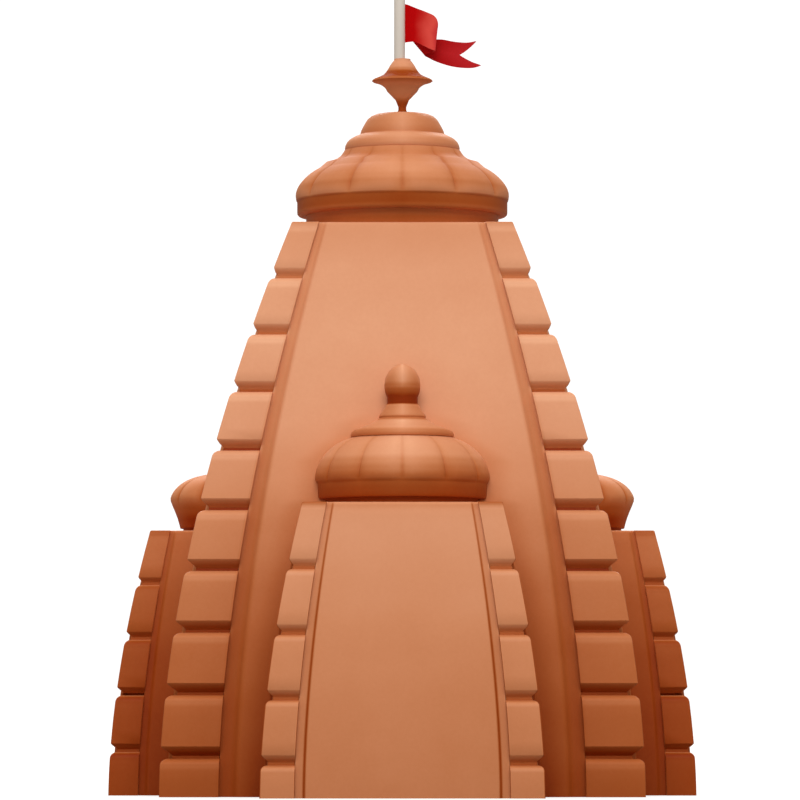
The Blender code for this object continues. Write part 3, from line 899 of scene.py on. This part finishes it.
# The pier seen through the open joints, painted dark for the shade in them
joint_look = stone("joint_stone", JOINT_SHADE, 0.0, TOWER.height)
spire_looks = {}
for kind, body, out_x, out_y, axis, course, joint in (
        ("front", FRONT, 0.0, FRONT_OUT, "X", FRONT_COURSE, FRONT_JOINT_SHADE),
        ("side", SIDE, SIDE_OUT, 0.0, "Y", SIDE_COURSE, SIDE_JOINT_SHADE)):
    spire_looks[kind] = (
        stone(f"{kind}_spire_wall_stone", FRONT_SHADE, 0.0, body.height,
              strips=(body, out_x, out_y, SPIRE_STRIP_SHADE), side=(axis, FLANK_WALL_SHADE)),
        stone(f"{kind}_spire_column_stone", FRONT_SHADE, 0.0, body.height,
              side=(axis, FLANK_SHADE), top_light=0.06, under_shade=0.05, courses=(body, course)),
        stone(f"{kind}_spire_joint_stone", joint, 0.0, body.height))
crown_look = stone("crown_stone", CROWN_SHADE, TOWER.height, CROWN_END, roughness=0.5, gloss=0.06,
                   top_light=0.0, under_shade=0.0, ribs=(0.0, 0.0, 0.15, CROWN_GROOVE_SHADE, CROWN_DIAGONAL))
top_look = stone("crown_top_stone", TOP_SHADE, CROWN_END, TOP_END, roughness=0.5, gloss=0.15,
                 under_shade=0.0, ribs=(0.0, 0.0, 0.0, NO_CHANGE, TOP_DIAGONAL))
finial_look = stone("finial_stone", FINIAL_SHADE, TOP_END, FINIAL_END, roughness=0.6, gloss=0.04,
                    top_light=0.0, under_shade=0.0)
front_crown_look = stone("front_crown_stone", FRONT_CROWN_SHADE, FRONT.height, FRONT_CROWN_END,
                         roughness=0.5, gloss=0.08, top_light=0.0, under_shade=0.0,
                         ribs=(0.0, FRONT_OUT, 0.12, FRONT_CROWN_GROOVE_SHADE, FRONT_CROWN_DIAGONAL))
front_top_look = stone("front_top_stone", FRONT_TOP_SHADE, FRONT_CROWN_END, FRONT_TOP_END,
                       roughness=0.5, gloss=0.10, under_shade=0.0,
                       ribs=(0.0, FRONT_OUT, 0.0, NO_CHANGE, FRONT_TOP_DIAGONAL))
side_crown_look = stone("side_crown_stone", SIDE_CROWN_SHADE, SIDE.height, SIDE_CROWN_END,
                        side=("Y", SIDE_CROWN_FLANK), gloss=0.04, under_shade=0.05,
                        ribs=(SIDE_OUT, 0.0, 0.20, SIDE_CROWN_GROOVE_SHADE, NO_CHANGE))
slab_look = stone("slab_stone", SLAB_SHADE, 0.0, TOWER.height)
pole_look = paint("pole_paint", "e0d8cd", 0.5)


def flag_cloth():
    """Dyed red bunting, with a painted highlight where it bellies out at its fold and painted
    shade beside it, in a plain weave that follows the cloth.
    """
    look, tree, shader = new_look("flag_cloth")
    cloth_place = add(tree, "ShaderNodeSeparateXYZ",
                      {0: add(tree, "ShaderNodeUVMap").outputs["UV"]}).outputs
    cloud = add(tree, "ShaderNodeTexNoise",
                {"Vector": add(tree, "ShaderNodeTexCoord").outputs["Object"], "Scale": 5.0,
                 "Detail": 3.0})
    # A painted highlight where the cloth bellies out at its fold, and painted shade beside it,
    # along the cloth
    fold_place = sums(tree, "MULTIPLY_ADD", sums(tree, "SUBTRACT", cloud.outputs["Fac"], 0.5), 0.04,
                cloth_place["X"])
    dye_and_fold_light = ramp(tree, fold_place, [(0.0, (0.52, 0.0008, 0.0015, 1.0)), (0.12, (0.56, 0.002, 0.003, 1.0)),
                            (0.26, (0.82, 0.085, 0.065, 1.0)), (0.33, (0.68, 0.045, 0.045, 1.0)),
                            (0.40, (0.50, 0.006, 0.008, 1.0)), (0.62, (0.46, 0.005, 0.006, 1.0)),
                            (0.75, (0.46, 0.008, 0.010, 1.0)), (1.0, (0.56, 0.02, 0.025, 1.0))],
               "EASE")
    tree.links.new(dye_and_fold_light, shader.inputs["Base Color"])
    threads = [sums(tree, "SINE", sums(tree, "MULTIPLY", cloth_place[axis], count * math.pi))
               for axis, count in (("X", 900.0), ("Y", 300.0))]
    weave = sums(tree, "MULTIPLY", *threads)
    relief = add(tree, "ShaderNodeBump", {"Height": weave, "Strength": 0.15, "Distance": 0.001})
    tree.links.new(relief.outputs["Normal"], shader.inputs["Normal"])
    shader.inputs["Roughness"].default_value = 0.9
    shader.inputs["Specular IOR Level"].default_value = 0.05
    return look


cloth_look = flag_cloth()


# The tower

def tower_stonework():
    """The four walls and the four corner columns."""
    wall = tower_wall()
    for side, turn in FACE_TURNS.items():
        finish(copy_of(wall, f"{side}_wall", turn), f"main_wall_{side}", wall_look)
    drop(wall)
    column = stacked_column("column", TOWER, TOWER_BLOCK, column_look, joint_look)
    for corner, turn in CORNER_TURNS.items():
        finish(copy_of(column, f"{corner}_column", turn), f"main_corner_{corner}")
    drop(column)


# Profiles of the turned pieces, as (radius, rise above the foot). A dome is part of an ellipse, and
# ribs gives the share of the swell at heights above the foot, and how far it swells at most.
NECK = [(1.93, 0.0), (1.93, 0.30)]
CROWN_LOW = [(2.00, 0.0), (2.08, 0.008), (2.105, 0.035), (2.11, 0.08), (2.11, 0.275),
             (2.115, 0.295), (2.12, 0.315)]
CROWN_DOME = {"centre": (0.92, 0.21), "reach": (1.21, 0.91), "angles": (8, 55), "count": 14}
CROWN_TOP = [(1.49, 1.07), (1.38, 1.10), (1.29, 1.14), (1.22, 1.20), (1.18, 1.27), (1.165, 1.32)]
CROWN_RIBS = (((0.31, 0.2), (0.42, 0.8), (0.55, 1.0), (1.1, 1.0), (1.3, 0.3), (1.32, 0.0)), 0.042)
TIER = [(1.13, 0.0), (1.155, 0.04), (1.145, 0.10), (1.11, 0.17), (1.05, 0.23), (0.96, 0.28),
        (0.87, 0.32)]
CAP = [(0.85, 0.0), (0.83, 0.08), (0.79, 0.16), (0.745, 0.24), (0.70, 0.31), (0.63, 0.37),
       (0.54, 0.41), (0.42, 0.43), (0.10, 0.435)]
FINIAL = [(0.11, 0.0), (0.08, 0.07), (0.08, 0.13), (0.135, 0.27), (0.185, 0.32), (0.23, 0.37),
          (0.30, 0.44), (0.345, 0.52), (0.395, 0.56), (0.46, 0.60), (0.58, 0.635), (0.61, 0.655),
          (0.60, 0.675), (0.56, 0.70), (0.45, 0.745), (0.375, 0.785), (0.325, 0.84), (0.285, 0.90),
          (0.25, 0.965), (0.20, 1.035), (0.165, 1.075), (0.165, 1.10)]
FRONT_NECK = [(1.50, 0.0), (1.50, 0.11)]
FRONT_CROWN = [(1.56, 0.0), (1.62, 0.012), (1.64, 0.05), (1.645, 0.285), (1.65, 0.31),
               (1.655, 0.345)]
FRONT_DOME = {"centre": (0.70, 0.33), "reach": (0.96, 0.90), "angles": (4, 66), "count": 14}
FRONT_CROWN_TOP = [(0.98, 1.20)]
FRONT_RIBS = (((0.31, 0.1), (0.345, 0.5), (0.39, 0.85), (0.46, 1.0), (1.12, 1.0), (1.2, 0.6)),
              0.037)
FRONT_TIER = [(0.95, 0.0), (0.99, 0.015), (1.0, 0.05), (0.985, 0.10), (0.935, 0.145), (0.80, 0.20),
              (0.62, 0.27), (0.47, 0.36), (0.445, 0.385), (0.455, 0.40), (0.45, 0.425),
              (0.40, 0.50), (0.345, 0.58), (0.315, 0.65), (0.30, 0.66)]
FRONT_BALL = {"foot_radius": 0.295, "neck": 0.12, "rise": 0.23, "reach": (0.35, 0.42)}
SIDE_NECK = [(1.02, 0.0), (1.02, 0.09)]
SIDE_CROWN = [(1.08, 0.0), (1.10, 0.08), (1.135, 0.2), (1.185, 0.33), (1.245, 0.47)]
SIDE_DOME = {"centre": (0.40, 0.50), "reach": (0.86, 0.58), "angles": (4, 72), "count": 12}
SIDE_CROWN_TOP = [(0.60, 1.07)]
SIDE_RIBS = (((0.5, 0.2), (0.6, 1.0), (1.03, 1.0), (1.07, 0.6)), 0.035)
SIDE_TIER = [(0.44, 0.0), (0.47, 0.03), (0.46, 0.08), (0.39, 0.15), (0.31, 0.22), (0.27, 0.28),
             (0.27, 0.31), (0.25, 0.36), (0.235, 0.44)]
SIDE_BALL = {"foot_radius": 0.225, "neck": 0.07, "rise": 0.17, "reach": (0.26, 0.30)}
POLE_RADIUS, POLE_SIDE = 0.11, -0.055
# Radius and level at each line of the pole's rounded tip
POLE_TIP = [(POLE_RADIUS, 16.03), (0.10, 16.08), (0.06, 16.12), (0.02, 16.135)]


def tower_top():
    """Neck, ribbed crown, ledge, cap and finial on the tower's shoulder, and the pole."""
    crown = CROWN_LOW + arc(**CROWN_DOME) + CROWN_TOP
    foot = raise_top(TOWER.height, [
        ("neck_ring", "neck", NECK, RING_STEPS, crown_look, None),
        ("ribbed_crown", "crown", crown, CROWN_STEPS, crown_look, CROWN_RIBS),
        ("crown_ledge", "crown_tier", TIER, RING_STEPS, top_look, None),
        ("crown_top", "crown_cap", CAP, RING_STEPS, top_look, None),
        ("finial_pot", "finial", FINIAL, RING_STEPS, finial_look, None)],
        lambda piece, part, node, look: finish(piece, node, look, CARVED_ANGLE))
    profile = [(POLE_RADIUS, 0.0)] + [(radius, level - foot) for radius, level in POLE_TIP]
    pole = turned("pole", profile, foot, POLE_STEPS)
    shape(pole)
    bpy.ops.mesh.select_all(action="SELECT")
    bpy.ops.transform.translate(value=(POLE_SIDE, 0, 0))
    done()
    finish(pole, "flagpole", pole_look)


HOIST = POLE_SIDE + POLE_RADIUS + GAP
# The flag's upper and lower edges from the hoist to the two tips of its swallow tail. It folds
# forward, back behind itself and forward again as it streams towards +X.
FLAG_TOP = [(HOIST, 0.0, 15.85), (0.13, 0.0, 15.83), (0.28, -0.06, 15.76), (0.49, -0.13, 15.67),
            (0.65, -0.19, 15.58), (0.715, -0.20, 15.45), (0.68, -0.12, 15.30), (0.48, -0.03, 15.19),
            (0.28, 0.05, 15.12), (0.22, 0.12, 15.10), (0.34, 0.16, 15.12), (0.58, 0.16, 15.15),
            (0.80, 0.13, 15.15), (0.98, 0.08, 15.11), (1.15, 0.02, 15.08), (1.32, -0.02, 15.07),
            (1.49, -0.03, 15.10)]
FLAG_LOW = [(HOIST, 0.0, 15.07), (0.13, 0.0, 15.08), (0.25, -0.05, 15.08), (0.41, -0.12, 15.00),
            (0.56, -0.18, 14.92), (0.66, -0.19, 14.88), (0.61, -0.12, 14.86), (0.52, -0.03, 14.85),
            (0.47, 0.05, 14.84), (0.46, 0.12, 14.815), (0.52, 0.155, 14.785), (0.64, 0.14, 14.72),
            (0.81, 0.09, 14.65), (1.00, 0.03, 14.59), (1.22, -0.02, 14.555), (1.43, -0.04, 14.555),
            (1.585, -0.05, 14.60)]
FLAG_NOTCH = 0.865  # how far along the cloth the notch of the tail lies
FLAG_CLOTH = 0.006
FLAG_ALONG, FLAG_ACROSS = 120, 24  # faces of the cloth


def along_curve(points, share):
    """The point at a share of the way along a smooth curve through the points."""
    place = share * (len(points) - 1)
    number = min(int(place), len(points) - 2)
    t = place - number
    around = [points[min(max(number + step, 0), len(points) - 1)] for step in (-1, 0, 1, 2)]
    return Vector([0.5 * (2 * b + (c - a) * t + (2 * a - 5 * b + 4 * c - d) * t ** 2
                          + (3 * b - a - 3 * c + d) * t ** 3) for a, b, c, d in zip(*around)])


def waving_flag():
    """The cloth between its two edge curves, given its thickness."""
    bpy.ops.object.select_all(action="DESELECT")
    bpy.ops.mesh.primitive_grid_add(x_subdivisions=FLAG_ALONG, y_subdivisions=FLAG_ACROSS, size=1,
                                    calc_uvs=True)
    flag = settle("waving_flag")
    for point in flag.data.vertices:
        across = point.co.y + 0.5
        share = (point.co.x + 0.5) * (FLAG_NOTCH + (1 - FLAG_NOTCH) * abs(2 * across - 1))
        point.co = along_curve(FLAG_LOW, share).lerp(along_curve(FLAG_TOP, share), across)
    take(flag)
    cloth = flag.modifiers.new("cloth", "SOLIDIFY")
    cloth.thickness = FLAG_CLOTH
    cloth.offset = 0
    bpy.ops.object.modifier_apply(modifier=cloth.name)
    finish(flag, "flag", cloth_look, angle=60)


# The small spires

def spire_top(body, out, sides, pieces):
    """Neck, ribbed crown, disc and ball of a small spire, modelled once and copied to its sides."""
    def place(piece, part, node, look):
        if node in ("neck", "crown"):
            cut_back(piece)
        for side in sides:
            finish(copy_of(piece, f"{side}_spire_{part}", FACE_TURNS[side], out),
                   f"{side}_spire_{node}", look, CARVED_ANGLE)
        drop(piece)
    raise_top(body.height, pieces, place)


def ball(foot_radius, neck, rise, reach):
    """The profile of a ball on its short neck."""
    return [(foot_radius, 0.0), (foot_radius, neck), *arc((0.0, neck + rise), reach, (-20, 87), 14)]


def small_spires():
    """A small spire on each face: its body, its two columns and its top."""
    for kind, body, block_sizes, out, sides in (
            ("front", FRONT, FRONT_BLOCK, FRONT_OUT, ("front", "back")),
            ("side", SIDE, SIDE_BLOCK, SIDE_OUT, ("left", "right"))):
        walls_look, block_look, between_look = spire_looks[kind]
        core = spire_body(kind, body, out)
        column = stacked_column(f"{kind}_stack", body, block_sizes, block_look, between_look)
        for side in sides:
            turn = FACE_TURNS[side]
            finish(copy_of(core, f"{side}_spire_walls", turn, out),
                   f"{side}_spire_core", walls_look)
            for hand, extra in (("right", 0), ("left", 270)):
                stack = copy_of(column, "turned_stack", extra)
                finish(copy_of(stack, f"{side}_spire_{hand}_column", turn, out),
                       f"{side}_spire_corner_{hand}")
                drop(stack)
        drop(core)
        drop(column)
    crown = FRONT_CROWN + arc(**FRONT_DOME) + FRONT_CROWN_TOP
    spire_top(FRONT, FRONT_OUT, ("front", "back"), [
        ("neck_ring", "neck", FRONT_NECK, RING_STEPS, front_crown_look, None),
        ("ribbed_crown", "crown", crown, CROWN_STEPS, front_crown_look, FRONT_RIBS),
        ("disc", "tier", FRONT_TIER, DISC_STEPS, front_top_look, None),
        ("ball", "finial", ball(**FRONT_BALL), BALL_STEPS, front_top_look, None)])
    crown = SIDE_CROWN + arc(**SIDE_DOME) + SIDE_CROWN_TOP
    spire_top(SIDE, SIDE_OUT, ("left", "right"), [
        ("neck_ring", "neck", SIDE_NECK, RING_STEPS, side_crown_look, None),
        ("ribbed_crown", "crown", crown, CROWN_STEPS, side_crown_look, SIDE_RIBS),
        ("disc", "tier", SIDE_TIER, DISC_STEPS, side_crown_look, None),
        ("ball", "finial", ball(**SIDE_BALL), BALL_STEPS, side_crown_look, None)])


# Camera, floor and light

def make_camera():
    """The camera of the photograph."""
    data = bpy.data.cameras.new("camera")
    data.sensor_width = SENSOR
    data.lens = DISTANCE / (FRAME * PIXEL) * SENSOR
    data.clip_end = VIEW_END
    camera = bpy.data.objects.new("camera", data)
    bpy.context.scene.collection.objects.link(camera)
    pitch = math.atan((HORIZON_PIXEL - FRAME / 2) * PIXEL / DISTANCE)
    camera.location = (-(AXIS_PIXEL - FRAME / 2) * PIXEL, -DISTANCE, EYE_HEIGHT)
    camera.rotation_euler = (math.pi / 2 + pitch, 0, 0)
    bpy.context.scene.camera = camera


WHITE, SUNLIT = (1.0, 1.0, 1.0, 1.0), (1.0, 0.90, 0.80, 1.0)
FLOOR_SIZE, FLOOR_TONE, FLOOR_SEEN = 4000, (0.3, 0.3, 0.3, 1), 0.75
SKY_AHEAD, SKY_ASIDE, SKY_SEEN = 0.54, 0.29, 1.1
# Each lamp's turn and tilt in degrees, its strength and how wide it looks
LAMPS = {"key": (0, 47, 1.54, 0.7), "back_key": (180, 47, 1.44, 0.7),
         "left_fill": (270, 45, 0.3, 0.8), "right_fill": (90, 45, 0.3, 0.8)}


def make_floor():
    """A wide grey floor that the camera sees as white."""
    bpy.ops.object.select_all(action="DESELECT")
    bpy.ops.mesh.primitive_plane_add(size=FLOOR_SIZE, location=(0, 0, 0))
    floor = bpy.context.object
    floor.name = "floor"
    look, tree, shader = new_look("floor")
    shader.inputs["Base Color"].default_value = FLOOR_TONE
    shader.inputs["Roughness"].default_value = 0.9
    shader.inputs["Emission Color"].default_value = WHITE
    seen = add(tree, "ShaderNodeLightPath").outputs["Is Camera Ray"]
    strength = sums(tree, "MULTIPLY", seen, FLOOR_SEEN)
    tree.links.new(strength, shader.inputs["Emission Strength"])
    floor.data.materials.append(look)


def make_sky():
    """White where the camera sees it, and otherwise warm and dimmer towards the sides."""
    world = bpy.data.worlds.new("studio")
    world.use_nodes = True
    tree = world.node_tree
    back = tree.nodes["Background"]
    seen = add(tree, "ShaderNodeLightPath").outputs["Is Camera Ray"]
    way = add(tree, "ShaderNodeTexCoord").outputs["Generated"]
    aside = sums(tree, "ABSOLUTE", add(tree, "ShaderNodeSeparateXYZ", {0: way}).outputs["X"])
    sky = ease(tree, aside, 0.3, 0.95, SKY_AHEAD, SKY_ASIDE)
    strength = add(tree, "ShaderNodeMix", {"Factor": seen, "A": sky, "B": SKY_SEEN},
                   data_type="FLOAT")
    tree.links.new(strength.outputs["Result"], back.inputs["Strength"])
    tone = add(tree, "ShaderNodeMix", {0: seen, 6: SUNLIT, 7: WHITE}, data_type="RGBA")
    tree.links.new(tone.outputs[2], back.inputs["Color"])
    bpy.context.scene.world = world


def make_lamps():
    """Soft light from the front, the back and both sides."""
    for name, (turn, tilt, energy, angle) in LAMPS.items():
        lamp = bpy.data.lights.new(name, "SUN")
        lamp.energy = energy
        lamp.angle = angle
        holder = bpy.data.objects.new(name, lamp)
        holder.rotation_euler = (math.radians(tilt), 0, math.radians(turn))
        bpy.context.scene.collection.objects.link(holder)


def dress_slab():
    """Gives the one solid that stays in view, the shoulder slab, its stone."""
    for solid in list(bpy.context.scene.objects):
        if solid.type == "MESH" and "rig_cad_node" in solid and not solid.hide_render:
            solid.data.materials.clear()
            solid.data.materials.append(slab_look)


tower_stonework()
tower_top()
waving_flag()
small_spires()
make_camera()
make_floor()
make_sky()
make_lamps()
bpy.context.scene.view_settings.view_transform = "Standard"
dress_slab()
